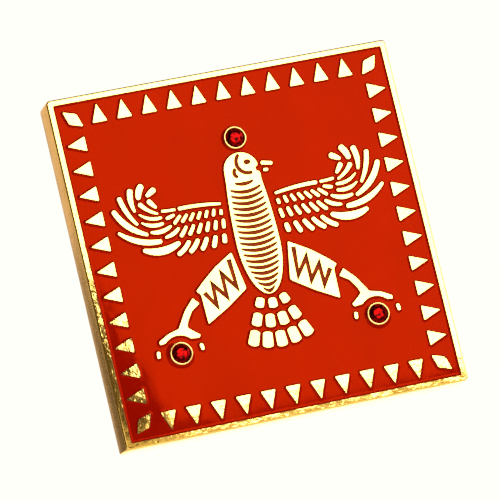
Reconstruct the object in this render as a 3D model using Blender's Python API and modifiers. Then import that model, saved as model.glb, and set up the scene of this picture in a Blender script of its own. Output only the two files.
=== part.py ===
"""Square enamel cap badge with a displayed bird, three set stones and two butterfly clutches.

The badge stands upright, as it is worn: its face looks towards -Y, +Z is up, and the origin is the
centre of the plate's back face. Sizes are in millimetres and become metres when a mesh is made.
Outlines are drawn on the face as (x, z). A height is measured from the back face towards the face.
"""

import math

import bmesh
import bpy
from mathutils import Matrix

MM = 0.001
FACE_TURN = (math.pi / 2, 0, 0)
BACK_TURN = (-math.pi / 2, 0, 0)

# The struck plate and its enamel
SIDE = 30.0
THICKNESS = 3.0
RIM = 0.55
CORNER_RADIUS = 0.4
EDGE_ROUND = 0.16
RECESS_DEPTH = 0.5
METAL_PROUD = 0.08
ENAMEL_GAP = 0.02
FLOOR_HEIGHT = THICKNESS - RECESS_DEPTH
ENAMEL_HEIGHT = THICKNESS - METAL_PROUD

# The border of small triangles, with a lozenge in each corner
TEETH = 11
TOOTH_PITCH = 2.17
TOOTH_BASE = 1.4
TOOTH_HEIGHT = 1.72
TOOTH_INNER = 12.42
LOZENGE_CENTRE = 13.07
LOZENGE_LONG = 1.12
LOZENGE_SHORT = 0.6

# The bird
BODY_WIDTH = 1.9
BODY_DROP = 4.55
NECK_HEIGHT = 5.2
NECK_TAPER = 0.32
HEAD_CENTRE = (0.05, 6.2)
HEAD_RADIUS = 1.55
STRIPES = 19
STRIPE_PITCH = 0.505
STRIPE_TOP = 4.65
STRIPE_MARGIN = 0.32
STRIPE_SAG = 0.33
STRIPE_WIDTH = 0.3
TAIL_PIVOT = (0.0, -2.5)
TAIL_HALF_SPREAD = 22.5
LEFT_WING_SCALE = 0.97
LEFT_WING_CENTRE = (2.3, 3.5)

# The curled tip of the right wing: each plume's root, tip, bow, and widths at root, middle and tip
TIP_PLUMES = [
    ((6.66, 1.14), (10.06, 1.04), 0.45, (0.4, 0.74, 0.36)),
    ((8.16, 1.5), (11.84, 2.94), 0.43, (0.44, 0.56, 0.3)),
    ((9.22, 2.24), (11.84, 4.92), 0.42, (0.34, 0.58, 0.46)),
    ((9.93, 3.22), (11.06, 5.98), 0.2, (0.3, 0.46, 0.46)),
    ((9.93, 4.36), (9.9, 6.5), 0.19, (0.26, 0.52, 0.54)),
    ((9.4, 5.36), (8.78, 6.68), 0.15, (0.42, 0.62, 0.56)),
    ((8.72, 5.54), (7.74, 6.12), 0.0, (0.3, 0.54, 0.54)),
]
TIP_COVERTS = [
    ((7.06, 2.7), (9.06, 2.44), 0.25, (0.28, 0.44, 0.28)),
    ((7.66, 3.02), (9.66, 3.42), 0.26, (0.3, 0.4, 0.18)),
    ((7.7, 3.53), (9.7, 4.18), 0.27, (0.3, 0.36, 0.18)),
    ((7.96, 3.88), (9.48, 5.12), 0.16, (0.26, 0.38, 0.48)),
    ((7.98, 4.38), (8.66, 5.26), 0.02, (0.26, 0.46, 0.48)),
]

# The stones and their cups
STONES = {"crest": (0.12, 9.0), "left_claw": (-8.65, -8.0), "right_claw": (8.65, -8.0)}
CUP_RADIUS = 0.98
CUP_WALL = 0.17
CUP_BOTTOM = 1.3
CUP_LIP = 3.16
STONE_RADIUS = 0.79
SOCKET_DEPTH = THICKNESS - CUP_BOTTOM + ENAMEL_GAP

# The posts, which stand in shallow counterbores so that the back face stays flat
POSTS = {"left": -6.5, "right": 6.5}
POST_Z = 2.0
POST_RADIUS = 0.55
POST_LENGTH = 8.0
POST_FOOT_RADIUS = 1.2
POST_FOOT_HEIGHT = 0.25
COUNTERBORE_RADIUS = 1.6
COUNTERBORE_DEPTH = 0.55

# The clutches, at rest with a cap's cloth between them and the back face
CLOTH = 2.2
DISC_RADIUS = 5.7
DISC_THICKNESS = 0.45
DISC_HOLE = 0.63
CASE_RADIUS = 3.15
CASE_WALL = 0.3
CASE_TOP = 3.0
WINDOW_WIDTH = 3.5
WINDOW_LOW = 1.1
WINDOW_HIGH = 2.45
WING_THICKNESS = 0.35
WING_WIDTH = 3.0
WING_PIVOT_RADIUS = 3.0
WING_PIVOT_HEIGHT = 1.55
SPRING_WIRE = 0.14

GOLD = ((0.86, 0.64, 0.30), 0.22, 1.0)
BRASS = ((0.80, 0.60, 0.28), 0.3, 1.0)
SOLDER = ((0.72, 0.70, 0.66), 0.4, 1.0)
STEEL = ((0.62, 0.60, 0.56), 0.3, 1.0)
RED_ENAMEL = ((0.56, 0.016, 0.006), 0.08, 0.0)
RED_STONE = ((0.24, 0.004, 0.006), 0.03, 0.0)


# ---- Scene and materials


def clear_scene():
    """Remove whatever the scene holds."""
    for piece in list(bpy.data.objects):
        bpy.data.objects.remove(piece, do_unlink=True)


def new_collection(name):
    """A collection linked to the scene."""
    collection = bpy.data.collections.new(name)
    bpy.context.scene.collection.children.link(collection)
    return collection


def give_material(piece, look):
    """The piece's own Principled material, from its colour, roughness and metallic value."""
    colour, roughness, metallic = look
    material = bpy.data.materials.new(piece.name)
    material.use_nodes = True
    shader = material.node_tree.nodes["Principled BSDF"]
    shader.inputs["Base Color"].default_value = (*colour, 1)
    shader.inputs["Roughness"].default_value = roughness
    shader.inputs["Metallic"].default_value = metallic
    piece.data.materials.append(material)


def make_cutter(piece):
    """Mark a piece as a cutter and put it with the others."""
    piece.hide_render = True
    piece.display_type = "WIRE"
    CUTTERS.objects.link(piece)


def cut(piece, cutter, operation="DIFFERENCE"):
    """Add a Boolean modifier."""
    modifier = piece.modifiers.new(cutter.name, "BOOLEAN")
    modifier.operation = operation
    modifier.object = cutter


# ---- Outlines


def arc(centre, radii, start, end, steps):
    """Points along an ellipse from one angle in degrees to another, both ends included."""
    points = []
    for k in range(steps + 1):
        angle = math.radians(start + (end - start) * k / steps)
        points.append((centre[0] + radii[0] * math.cos(angle), centre[1] + radii[1] * math.sin(angle)))
    return points


def circle(centre, radius, steps):
    """A closed circle."""
    return arc(centre, (radius, radius), 0, 360, steps)[:-1]


def polar(pivot, radius, angle):
    """The point at a radius and an angle in degrees from a pivot."""
    turn = math.radians(angle)
    return (pivot[0] + radius * math.cos(turn), pivot[1] + radius * math.sin(turn))


def between(first, second, t):
    """The value or the point a fraction t of the way from the first to the second."""
    if isinstance(first, tuple):
        return tuple(between(a, b, t) for a, b in zip(first, second))
    return first + (second - first) * t


def mirrored(points):
    """The outline's mirror image across the badge's middle."""
    return [(-x, z) for x, z in points]


def turned(points, quarter):
    """The outline turned by quarter turns about the badge's centre."""
    for _ in range(quarter):
        points = [(-z, x) for x, z in points]
    return points


def rounded(corners, radius, steps=1):
    """The polygon with each corner replaced by a small fillet."""
    points = []
    for k, corner in enumerate(corners):
        ends = []
        for neighbour in (corners[k - 1], corners[(k + 1) % len(corners)]):
            length = math.dist(corner, neighbour)
            ends.append(between(corner, neighbour, min(radius / length, 0.45)))
        for step in range(steps + 1):
            t = step / steps
            points.append(between(between(ends[0], corner, t), between(corner, ends[1], t), t))
    return points


def normals(points, closed):
    """The unit normal to the right of the path at each point, and how far a mitre reaches there."""
    result = []
    last = len(points) - 1
    for k, point in enumerate(points):
        before = points[k - 1] if closed or k > 0 else point
        after = points[(k + 1) % len(points)] if closed or k < last else point
        sides = []
        for start, end in ((before, point), (point, after)):
            length = math.dist(start, end)
            if length > 0:
                sides.append(((end[1] - start[1]) / length, (start[0] - end[0]) / length))
        x = sum(side[0] for side in sides)
        z = sum(side[1] for side in sides)
        size = math.hypot(x, z)
        normal = (x / size, z / size)
        mitre = 1 / (normal[0] * sides[0][0] + normal[1] * sides[0][1])
        result.append((normal, mitre))
    return result


def grown(points, distance):
    """The closed outline moved outwards by a distance, or inwards if it is negative."""
    area = sum(a[0] * b[1] - b[0] * a[1] for a, b in zip(points, points[1:] + points[:1]))
    outward = math.copysign(distance, area * distance)
    moved = []
    for (x, z), (normal, mitre) in zip(points, normals(points, closed=True)):
        reach = outward * min(mitre, 2)
        moved.append((x + normal[0] * reach, z + normal[1] * reach))
    return moved


def stroke(path, widths, stations, end_width=0.5):
    """A line along path(t) with a width at its root, middle and tip, and blunted ends."""
    root, middle, tip = widths
    centres = [path(t) for t in stations]
    sides = ([], [])
    for t, centre, (normal, _) in zip(stations, centres, normals(centres, closed=False)):
        swell = 4 * t * (1 - t) * (middle - (root + tip) / 2)
        half = (between(root, tip, t) + swell) / 2
        if t in (0, 1):
            half *= end_width
        for side, sign in zip(sides, (1, -1)):
            side.append((centre[0] + sign * half * normal[0], centre[1] + sign * half * normal[1]))
    return sides[0] + sides[1][::-1]


def blade(root, tip, widths, bow=0.0, end_width=0.5):
    """A feather from root to tip, bowed sideways by a distance."""
    length = math.dist(root, tip)
    across = ((tip[1] - root[1]) / length, (root[0] - tip[0]) / length)

    def path(t):
        middle = between(root, tip, t)
        bend = bow * 4 * t * (1 - t)
        return (middle[0] + across[0] * bend, middle[1] + across[1] * bend)

    return stroke(path, widths, (0, 0.2, 0.8, 1), end_width)


def swept(pivot, radii, angles, widths):
    """A feather that sweeps round a pivot."""

    def path(t):
        return polar(pivot, between(*radii, t), between(*angles, t))

    return stroke(path, widths, (0, 0.12, 0.5, 0.88, 1))


def zigzag(points, width):
    """A line of constant width through sharp turns, blunt on the outside of each turn."""
    sides = ([], [])
    for k, ((x, z), (normal, mitre)) in enumerate(zip(points, normals(points, closed=False))):
        turn = 0
        if 0 < k < len(points) - 1:
            before = (x - points[k - 1][0], z - points[k - 1][1])
            after = (points[k + 1][0] - x, points[k + 1][1] - z)
            turn = before[0] * after[1] - before[1] * after[0]
        for side, sign in zip(sides, (1, -1)):
            outside = turn * sign > 0
            reach = sign * width / 2 * (min(mitre, 1.3) if outside else mitre)
            side.append((x + normal[0] * reach, z + normal[1] * reach))
    return sides[0] + sides[1][::-1]


# ---- The badge's drawing


def field_outline():
    """The square that the rim leaves for the enamel."""
    half = SIDE / 2 - RIM
    return rounded([(-half, -half), (half, -half), (half, half), (-half, half)], 0.1)


def border_outlines():
    """Eleven triangles a side that point outwards, and a lozenge in each corner."""
    half = TOOTH_BASE / 2
    outlines = []
    for side in range(4):
        for k in range(TEETH):
            x = (k - (TEETH - 1) / 2) * TOOTH_PITCH
            corners = [(x - half, TOOTH_INNER), (x + half, TOOTH_INNER), (x, TOOTH_INNER + TOOTH_HEIGHT)]
            outlines.append(turned(rounded(corners, 0.2), side))
        middle = (LOZENGE_CENTRE, LOZENGE_CENTRE)
        reaches = (LOZENGE_LONG, LOZENGE_SHORT, LOZENGE_LONG, LOZENGE_SHORT)
        corners = [polar(middle, reach, 45 + 90 * k) for k, reach in enumerate(reaches)]
        outlines.append(turned(rounded(corners, 0.2), side))
    return outlines


def body_half_width(z):
    """Half the body's width at a height on the face."""
    if z < 0:
        return BODY_WIDTH * math.sqrt(1 - (z / BODY_DROP) ** 2)
    return BODY_WIDTH - NECK_TAPER * (z / NECK_HEIGHT) ** 2


def body_outline():
    """Breast, neck and head in one, with a nick where the beak begins."""
    belly = arc((0, 0), (BODY_WIDTH, BODY_DROP), 180, 360, 14)
    flank = [(body_half_width(z), z) for z in (1.8, 3.6, NECK_HEIGHT)]
    beak_nick = [(1.58, 5.8), (1.28, 6.15)]
    head = arc(HEAD_CENTRE, (HEAD_RADIUS, HEAD_RADIUS), 12, 180, 8)
    return belly + flank + beak_nick + head + mirrored(flank[::-1])


def stripe_outline(k):
    """A smile-shaped stripe across the breast. The first, on the neck, is short."""
    height = STRIPE_TOP - STRIPE_PITCH * (k - 1)
    reach = body_half_width(height - STRIPE_SAG / 2) - STRIPE_MARGIN
    sag = STRIPE_SAG
    if k == 0:
        reach *= 0.62
        sag *= 0.45
    upper = []
    lower = []
    for t in (-1, -0.5, 0, 0.5, 1):
        middle = height - sag * (1 - t * t)
        half = STRIPE_WIDTH * (1 - 0.45 * abs(t)) / 2
        upper.append((reach * t, middle + half))
        lower.append((reach * t, middle - half))
    return lower + upper[::-1]


def head_cells():
    """The enamel in the head: an eye, the curl round it and a mark on the cheek."""
    return {
        "eye": arc((0.66, 6.8), (0.29, 0.2), 0, 360, 8)[:-1],
        "curl": swept((0.68, 6.78), (0.98, 0.92), (128, 285), (0.24, 0.3, 0.26)),
        "cheek": swept((-0.25, 6.05), (0.38, 0.42), (120, 250), (0.24, 0.29, 0.26)),
    }


def beak_outlines():
    """The beak's two parts."""
    return [
        blade((1.76, 6.52), (2.84, 6.3), (0.42, 0.4, 0.36)),
        blade((1.84, 5.88), (2.36, 5.84), (0.32, 0.34, 0.32)),
    ]


def wing_outlines():
    """The right wing: a leading edge, three rows of coverts, and the plumes of the curled tip."""
    outlines = [
        blade((2.34, 3.72), (6.24, 3.98), (0.3, 0.37, 0.4), -0.1),
        blade((6.38, 3.98), (7.74, 4.06), (0.3, 0.32, 0.32), 0.02),
        blade((6.56, 3.58), (7.48, 3.33), (0.26, 0.38, 0.3), 0.03),
    ]
    for k in range(7):
        x = 2.48 + 0.6 * k
        outlines.append(blade((x, 3.44 if k else 3.3), (x + 0.1 + 0.115 * k, 2.72), (0.31, 0.36, 0.36)))
    for k in range(6):
        x = 2.48 + 0.66 * k
        outlines.append(blade((x, 2.44), (x + 0.14 + 0.13 * k, 1.52), (0.31, 0.4, 0.38), 0.01 * k))
    outlines.append(blade((6.44, 2.4), (7.92, 1.74), (0.3, 0.42, 0.24), 0.16))
    for k in range(5):
        x = 2.7 + 0.78 * k
        tip = (x + 0.14 + 0.3 * k, 0.04 if k else 0.24)
        outlines.append(blade((x, 1.14), tip, (0.4, 0.48, 0.44), 0.035 * k))
    for root, tip, bow, widths in TIP_PLUMES + TIP_COVERTS:
        outlines.append(blade(root, tip, widths, bow))
    return outlines


def left_wing(outline):
    """A right wing's outline as the slightly smaller left wing has it."""
    x, z = LEFT_WING_CENTRE
    return mirrored([between((x, z), point, LEFT_WING_SCALE) for point in outline])


def thigh_outline():
    """The right thigh, a broad leaf from the breast to the knee."""
    corners = [(2.46, -0.42), (4.2, -1.45), (5.35, -2.35), (6.25, -3.15)]
    corners += [(5.88, -3.5), (5.82, -6.1), (3.8, -5.0), (1.88, -3.72)]
    return rounded(corners, 0.15)


def thigh_zigzag():
    """The enamel zigzag in the right thigh."""
    points = []
    for k in range(3):
        points.append((2.85 + 0.95 * k, -1.05 - 0.8 * k))
        points.append((2.62 + 1.02 * k, -3.7 - 0.6 * k))
    points.append((5.52, -3.42))
    return zigzag(points, 0.37)


def leg_outlines():
    """The right leg with its arched foot, and the claws on each side of the stone."""
    stone = STONES["right_claw"]
    shin = [(6.62, -3.58), (7.55, -4.55), (8.4, -5.92), (9.35, -6.16), (10.28, -6.66), (10.26, -7.02)]
    arch = arc(stone, (1.5, 1.5), 44, 136, 5)
    calf = [(6.78, -7.04), (6.62, -6.74), (7.12, -6.36), (7.58, -5.96), (7.42, -5.5), (6.9, -4.72), (6.1, -4.2)]
    leg = rounded(shin, 0.12)[1:] + arch + rounded(calf, 0.12)[:-1]
    claws = [swept(stone, (1.9, 1.9), angles, (0.38, 0.38, 0.34)) for angles in ((17, -3), (163, 183))]
    return [leg] + claws


def tail_outlines():
    """Three rows of tail feathers, of three, four and five."""
    outlines = []
    for count, near, far, width in ((3, 2.35, 3.3, 0.84), (4, 3.68, 4.9, 0.92), (5, 5.18, 6.62, 1.0)):
        for k in range(count):
            angle = -90 + TAIL_HALF_SPREAD * (2 * k / (count - 1) - 1)
            root = polar(TAIL_PIVOT, near, angle)
            tip = polar(TAIL_PIVOT, far, angle)
            outlines.append(blade(root, tip, (width * 0.85, width * 0.95, width), end_width=0.7))
    return outlines


def metal_outlines():
    """Every island of metal that rises through the enamel."""
    limbs = [thigh_outline()] + leg_outlines()
    limbs += [mirrored(outline) for outline in limbs]
    wings = wing_outlines()
    wings += [left_wing(outline) for outline in wings]
    return border_outlines() + wings + limbs + [body_outline()] + beak_outlines() + tail_outlines()


def cell_outlines():
    """Every small enamel cell inside the bird, by its node's name."""
    cells = {f"breast_stripe_{k + 1:02d}": stripe_outline(k) for k in range(STRIPES)}
    cells.update({f"head_{name}": outline for name, outline in head_cells().items()})
    cells["thigh_zigzag_right"] = thigh_zigzag()
    cells["thigh_zigzag_left"] = mirrored(thigh_zigzag())
    return cells


# ---- Solids


def flat_solid(name, outlines, low, high):
    """A mesh between two heights on the face, from a filled 2D curve with nested outlines as holes."""
    curve = bpy.data.curves.new(name, "CURVE")
    curve.dimensions = "2D"
    curve.fill_mode = "BOTH"
    curve.extrude = (high - low) / 2
    for outline in outlines:
        spline = curve.splines.new("POLY")
        spline.points.add(len(outline) - 1)
        for point, (x, z) in zip(spline.points, outline):
            point.co = (x, z, 0, 1)
        spline.use_cyclic_u = True
    drawing = bpy.data.objects.new(name + "_drawing", curve)
    bpy.context.scene.collection.objects.link(drawing)
    evaluated = drawing.evaluated_get(bpy.context.evaluated_depsgraph_get())
    mesh = bpy.data.meshes.new_from_object(evaluated)
    bpy.data.objects.remove(drawing, do_unlink=True)
    weld(mesh, 0.0005)
    mesh.transform(Matrix.Scale(MM, 4))
    mesh.name = name
    piece = bpy.data.objects.new(name, mesh)
    piece.rotation_euler = FACE_TURN
    piece.location.y = -(low + high) / 2 * MM
    return piece


def weld(mesh, distance):
    """Join the curve's loose caps to its sides."""
    work = bmesh.new()
    work.from_mesh(mesh)
    bmesh.ops.remove_doubles(work, verts=work.verts, dist=distance)
    work.to_mesh(mesh)
    work.free()


def turned_solid(name, profile, steps, closed=False):
    """A turned shape about its own Z from a profile of (radius, height), outer side top to bottom."""
    mesh = bpy.data.meshes.new(name)
    vertices = [(radius * MM, 0, height * MM) for radius, height in profile]
    edges = [(k, k + 1) for k in range(len(profile) - 1)]
    if closed:
        edges.append((len(profile) - 1, 0))
    mesh.from_pydata(vertices, edges, [])
    piece = bpy.data.objects.new(name, mesh)
    screw = piece.modifiers.new("turn", "SCREW")
    screw.steps = steps
    screw.render_steps = steps
    screw.use_merge_vertices = True
    screw.merge_threshold = 0.000001
    screw.use_smooth_shade = True
    return piece


def block(name, size, centre):
    """A box from a primitive, with its scale in the mesh."""
    mesh = bpy.data.meshes.new(name)
    work = bmesh.new()
    bmesh.ops.create_cube(work, size=1)
    bmesh.ops.scale(work, vec=[length * MM for length in size], verts=work.verts)
    bmesh.ops.translate(work, vec=[place * MM for place in centre], verts=work.verts)
    work.to_mesh(mesh)
    work.free()
    return bpy.data.objects.new(name, mesh)


def finish(piece, look, parent=None):
    """Put a finished piece in the badge's collection, on its parent if it moves."""
    PARTS.objects.link(piece)
    piece.parent = parent
    give_material(piece, look)


def make_plate():
    """The struck plate: a rim and islands of metal, with a recess for each enamel cell."""
    half = SIDE / 2
    corners = [(-half, -half), (half, -half), (half, half), (-half, half)]
    plate = flat_solid("base_plate", [rounded(corners, CORNER_RADIUS, 3)], 0, THICKNESS)
    bevel = plate.modifiers.new("edges", "BEVEL")
    bevel.width = EDGE_ROUND * MM
    bevel.segments = 1
    bevel.limit_method = "ANGLE"
    bevel.angle_limit = math.radians(60)
    cells = [field_outline()] + metal_outlines() + list(cell_outlines().values())
    recess = flat_solid("enamel_recess", cells, FLOOR_HEIGHT, THICKNESS + 1)
    make_cutter(recess)
    cut(plate, recess)
    for name, place in STONES.items():
        socket = turned_cutter(f"socket_{name}", CUP_RADIUS + ENAMEL_GAP, SOCKET_DEPTH, 24)
        socket.rotation_euler = FACE_TURN
        socket.location = (place[0] * MM, -THICKNESS * MM, place[1] * MM)
        cut(plate, socket)
    for name, x in POSTS.items():
        counterbore = turned_cutter(f"counterbore_{name}", COUNTERBORE_RADIUS, COUNTERBORE_DEPTH, 20)
        counterbore.rotation_euler = BACK_TURN
        counterbore.location = (x * MM, 0, POST_Z * MM)
        cut(plate, counterbore)
    finish(plate, GOLD)


def turned_cutter(name, radius, depth, sides):
    """A cylinder about its own Z that reaches down to a depth and stands out of the face by a millimetre."""
    mesh = bpy.data.meshes.new(name)
    work = bmesh.new()
    length = depth + 1
    radius *= MM
    place = Matrix.Translation((0, 0, (1 - depth) / 2 * MM))
    bmesh.ops.create_cone(
        work, cap_ends=True, segments=sides, radius1=radius, radius2=radius, depth=length * MM, matrix=place
    )
    work.to_mesh(mesh)
    work.free()
    piece = bpy.data.objects.new(name, mesh)
    make_cutter(piece)
    return piece


def make_enamel():
    """The enamel field round the motif, and a small fill in each cell of the bird."""
    outlines = [grown(field_outline(), -ENAMEL_GAP)]
    outlines += [grown(outline, ENAMEL_GAP) for outline in metal_outlines()]
    outlines += [circle(place, CUP_RADIUS + ENAMEL_GAP, 24) for place in STONES.values()]
    low = FLOOR_HEIGHT + ENAMEL_GAP
    field = flat_solid("enamel_field", outlines, low, ENAMEL_HEIGHT)
    finish(field, RED_ENAMEL)
    for name, outline in cell_outlines().items():
        fill = flat_solid(name, [grown(outline, -ENAMEL_GAP)], low, ENAMEL_HEIGHT)
        finish(fill, RED_ENAMEL)


def make_stones():
    """A faceted stone in a closed-bottomed cup, at each of the three places."""
    inner = CUP_RADIUS - CUP_WALL
    cup = [(0, CUP_BOTTOM + 0.3), (inner, CUP_BOTTOM + 0.85), (inner, CUP_LIP), (CUP_RADIUS - 0.06, CUP_LIP)]
    cup += [(CUP_RADIUS, CUP_LIP - 0.08), (CUP_RADIUS, CUP_BOTTOM), (0, CUP_BOTTOM)]
    girdle = CUP_LIP - 0.12
    stone = [(0, girdle + 0.2), (0.44, girdle + 0.2), (STONE_RADIUS, girdle), (STONE_RADIUS, girdle - 0.08)]
    stone += [(0, CUP_BOTTOM + 0.6)]
    for name, place in STONES.items():
        setting = turned_solid(f"stone_cup_{name}", cup, 20)
        gem = turned_solid(f"stone_{name}", stone, 12)
        for piece, look in ((setting, GOLD), (gem, RED_STONE)):
            piece.rotation_euler = FACE_TURN
            piece.location = (place[0] * MM, 0, place[1] * MM)
            finish(piece, look)


def make_posts():
    """Two nail-headed posts with a notch near the tip, each held in its counterbore by a ring of solder."""
    foot = -COUNTERBORE_DEPTH + ENAMEL_GAP
    notch = POST_LENGTH - 1.7
    post = [(0, POST_LENGTH), (0.16, POST_LENGTH), (POST_RADIUS, POST_LENGTH - 0.8), (POST_RADIUS, notch)]
    post += [(POST_RADIUS - 0.13, notch - 0.15), (POST_RADIUS - 0.13, notch - 0.35), (POST_RADIUS, notch - 0.5)]
    post += [(POST_RADIUS, foot + POST_FOOT_HEIGHT), (POST_FOOT_RADIUS, foot + POST_FOOT_HEIGHT)]
    post += [(POST_FOOT_RADIUS, foot), (0, foot)]
    low = foot + POST_FOOT_HEIGHT + ENAMEL_GAP
    inside = POST_RADIUS + ENAMEL_GAP
    outside = COUNTERBORE_RADIUS - 0.06
    solder = [(inside, -0.02), (outside * 0.72, -0.16), (outside, low + 0.06), (outside, low), (inside, low)]
    for name, x in POSTS.items():
        for piece, look in (
            (turned_solid(f"post_{name}", post, 16), STEEL),
            (turned_solid(f"solder_ring_{name}", solder, 16, closed=True), SOLDER),
        ):
            piece.rotation_euler = BACK_TURN
            piece.location = (x * MM, 0, POST_Z * MM)
            finish(piece, look)


# ---- The butterfly clutches, built about their own Z, which points away from the plate


def clutch_disc(name):
    """The pressed disc that bears on the cloth, with a guide neck and a lip that holds the case."""
    top = DISC_THICKNESS
    lip = CASE_RADIUS + 0.7
    profile = [(1.0, top + 0.6), (1.0, top), (CASE_RADIUS + 0.48, top), (CASE_RADIUS + 0.48, top + 0.32)]
    profile += [(CASE_RADIUS + 0.14, top + 0.34), (CASE_RADIUS + 0.14, top + 0.5), (lip, top + 0.5)]
    profile += [(lip, top), (DISC_RADIUS - 0.45, top), (DISC_RADIUS - 0.3, top + 0.4)]
    profile += [(DISC_RADIUS, top + 0.4), (DISC_RADIUS, 0.25), (DISC_RADIUS - 0.3, 0)]
    profile += [(DISC_HOLE, 0), (DISC_HOLE, top + 0.6)]
    return turned_solid(name, profile, 24, closed=True)


def clutch_case(name):
    """The cup that turns on the disc, with a window on each side for a wing."""
    inner = CASE_RADIUS - CASE_WALL
    low = DISC_THICKNESS + 0.04
    profile = [(CASE_RADIUS - 0.15, CASE_TOP), (CASE_RADIUS, CASE_TOP - 0.15), (CASE_RADIUS, low + 0.22)]
    profile += [(CASE_RADIUS + 0.42, low + 0.22), (CASE_RADIUS + 0.42, low), (inner, low)]
    profile += [(inner, CASE_TOP - CASE_WALL), (0.85, CASE_TOP - CASE_WALL), (0.85, CASE_TOP)]
    case = turned_solid(name, profile, 24, closed=True)
    size = (WINDOW_WIDTH, 2 * CASE_RADIUS + 1, WINDOW_HIGH - WINDOW_LOW)
    window = block(f"{name}_window", size, (0, 0, (WINDOW_LOW + WINDOW_HIGH) / 2))
    make_cutter(window)
    window.parent = case
    cut(case, window)
    return case


def clutch_spring(name):
    """The wire spring: an open loop that grips the post, with two legs that run out between the wings."""
    curve = bpy.data.curves.new(name, "CURVE")
    curve.dimensions = "3D"
    curve.bevel_depth = SPRING_WIRE * MM
    curve.bevel_resolution = 1
    curve.use_fill_caps = True
    height = DISC_THICKNESS + 1.25
    grip = POST_RADIUS + SPRING_WIRE + 0.03
    leg = (2.3, 0.95)
    points = [leg] + arc((0, 0), (grip, grip), 60, 300, 10) + [(leg[0], -leg[1])]
    spline = curve.splines.new("POLY")
    spline.points.add(len(points) - 1)
    for point, (x, y) in zip(spline.points, points):
        point.co = (x * MM, y * MM, height * MM, 1)
    return bpy.data.objects.new(name, curve)


def clutch_wing(name):
    """A bent sheet lever: an arm inside the case, and an ear outside it for the finger."""
    half = WING_THICKNESS / 2
    tip = (2.75, 3.0)
    centre_line = [(-1.7, 0), (0.3, 0), (0.75, 0.25), (2.35, 2.5), tip]
    sides = ([], [])
    for (x, z), (normal, mitre) in zip(centre_line, normals(centre_line, closed=False)):
        for side, sign in zip(sides, (half, -half)):
            side.append((x + normal[0] * mitre * sign, z + normal[1] * mitre * sign))
    strip = flat_solid(name, [sides[0] + sides[1][::-1]], -WING_WIDTH / 2, WING_WIDTH / 2)
    strip.data.transform(Matrix.Rotation(math.pi / 2, 4, "X"))
    strip.rotation_euler = (0, 0, 0)
    arm = 1.2
    ear_half = WING_WIDTH / 2 + 0.01
    ear_end = arc((tip[0] - ear_half, 0), (ear_half, ear_half), -90, 90, 8)
    plan = [(-2, -arm), (0.5, -arm), (0.9, -ear_half)] + ear_end + [(0.9, ear_half), (0.5, arm), (-2, arm)]
    shape = flat_solid(f"{name}_plan", [plan], -1, 4)
    shape.rotation_euler = (0, 0, 0)
    shape.location = (0, 0, 0)
    shape.data.transform(Matrix.Translation((0, 0, 1.5 * MM)))
    make_cutter(shape)
    shape.parent = strip
    cut(strip, shape, "INTERSECT")
    return strip


def make_clutch(side, x):
    """One clutch on its post: the disc slides, the case turns on the disc and the wings pinch."""
    mount = bpy.data.objects.new(f"clutch_{side}", None)
    PARTS.objects.link(mount)
    mount.rotation_euler = BACK_TURN
    mount.location = (x * MM, CLOTH * MM, POST_Z * MM)
    finish(clutch_disc(f"clutch_disc_{side}"), BRASS, mount)
    finish(clutch_case(f"clutch_case_{side}"), BRASS, mount)
    finish(clutch_spring(f"clutch_spring_{side}"), STEEL, mount)
    for name, angle in (("upper", -math.pi / 2), ("lower", math.pi / 2)):
        wing = clutch_wing(f"clutch_wing_{side}_{name}")
        wing.location = (
            WING_PIVOT_RADIUS * math.cos(angle) * MM,
            WING_PIVOT_RADIUS * math.sin(angle) * MM,
            WING_PIVOT_HEIGHT * MM,
        )
        wing.rotation_euler = (0, 0, angle)
        finish(wing, BRASS, mount)


clear_scene()
PARTS = new_collection("cap_badge")
CUTTERS = new_collection("cutters")
make_plate()
make_enamel()
make_stones()
make_posts()
for post_side, post_x in POSTS.items():
    make_clutch(post_side, post_x)
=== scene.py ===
"""Looks of the square enamel cap badge: struck metal, enamel, set stones and butterfly clutches.

The face looks towards -Y, +Z is up, and the origin is the centre of the plate's back face. Sizes are in
millimetres until a mesh is made. Shapes are built as (x, z, height), with x and z as seen on the face and
the height from the back face towards the face. FACE turns them upright.
"""

import math

import bmesh
import bpy
import numpy as np
from mathutils import Matrix, Quaternion, Vector, noise
from mathutils.geometry import delaunay_2d_cdt
from mathutils.kdtree import KDTree


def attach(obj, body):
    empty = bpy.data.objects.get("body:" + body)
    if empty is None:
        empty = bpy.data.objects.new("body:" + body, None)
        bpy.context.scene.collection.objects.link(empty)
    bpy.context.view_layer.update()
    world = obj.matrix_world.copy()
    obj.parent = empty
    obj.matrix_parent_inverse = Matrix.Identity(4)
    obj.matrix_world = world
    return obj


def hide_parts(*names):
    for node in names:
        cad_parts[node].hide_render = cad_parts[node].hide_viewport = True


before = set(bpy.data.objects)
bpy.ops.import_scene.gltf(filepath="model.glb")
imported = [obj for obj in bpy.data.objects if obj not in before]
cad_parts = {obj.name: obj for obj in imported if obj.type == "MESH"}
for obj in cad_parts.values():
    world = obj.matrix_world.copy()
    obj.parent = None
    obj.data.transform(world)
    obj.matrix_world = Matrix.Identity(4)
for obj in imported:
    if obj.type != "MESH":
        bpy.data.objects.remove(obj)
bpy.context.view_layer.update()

MM = 0.001
FACE = Matrix.Rotation(math.pi / 2, 4, "X")
BACK = Matrix.Rotation(-math.pi / 2, 4, "X")

# The struck plate
SIDE = 30.0
THICKNESS = 3.0
RIM = 0.55
CORNER_RADIUS = 0.4
OUTER_EDGE = 0.14
BACK_EDGE = 0.1
METAL_EDGE = 0.05
CELL_EDGE = 0.03
FLOOR_HEIGHT = 2.5
COUNTERBORE_RADIUS = 1.6
COUNTERBORE_DEPTH = 0.55

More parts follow.
